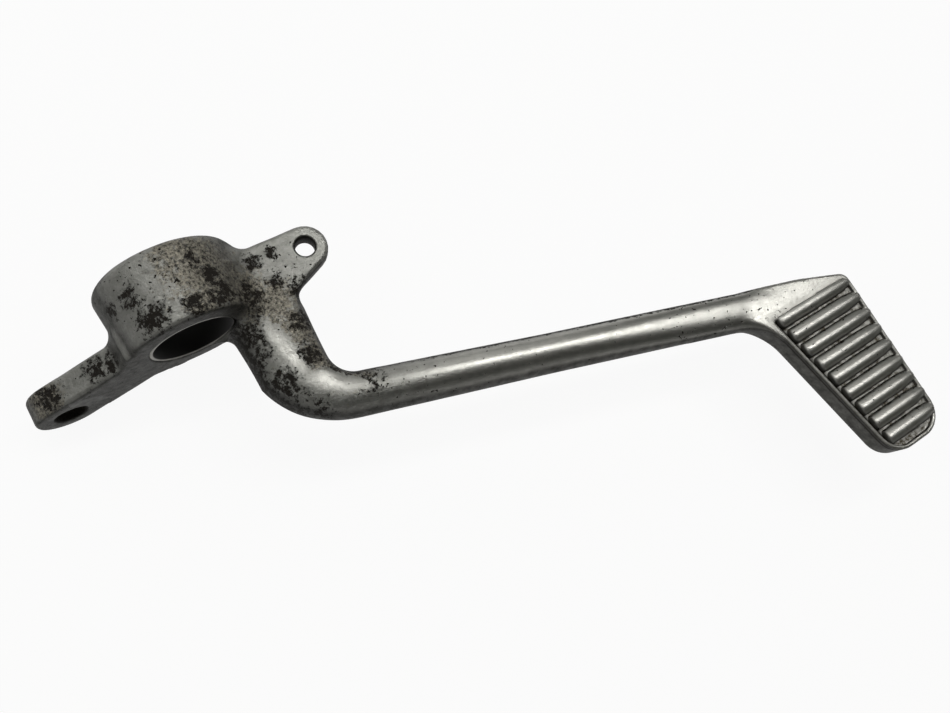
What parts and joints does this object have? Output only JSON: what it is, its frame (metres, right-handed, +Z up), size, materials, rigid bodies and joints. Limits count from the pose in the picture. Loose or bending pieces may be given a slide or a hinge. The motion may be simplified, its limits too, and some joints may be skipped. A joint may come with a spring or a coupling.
{
  "type": "rear brake pedal",
  "caption": "Cast aluminium rear brake pedal with a bushed pivot boss, clevis lever, drilled ear, splayed arm and ribbed foot pad.",
  "frame": {"origin": "centre of the pivot bore, on its axis and halfway along the boss", "axes": "+Y along the pivot axis, towards the motorcycle's frame; +X forwards, towards the foot pad; +Z up, the way the tread faces"},
  "size_m": [0.2088, 0.1284, 0.0433],
  "materials": {
    "cast_aluminium": "worn polished casting, dirty and pitted round the pivot",
    "bush_steel": "dull, greasy"
  },
  "bodies": {
    "root": {"pedal_casting": "cast_aluminium", "pivot_bush": "bush_steel"}
  },
  "joints": []
}
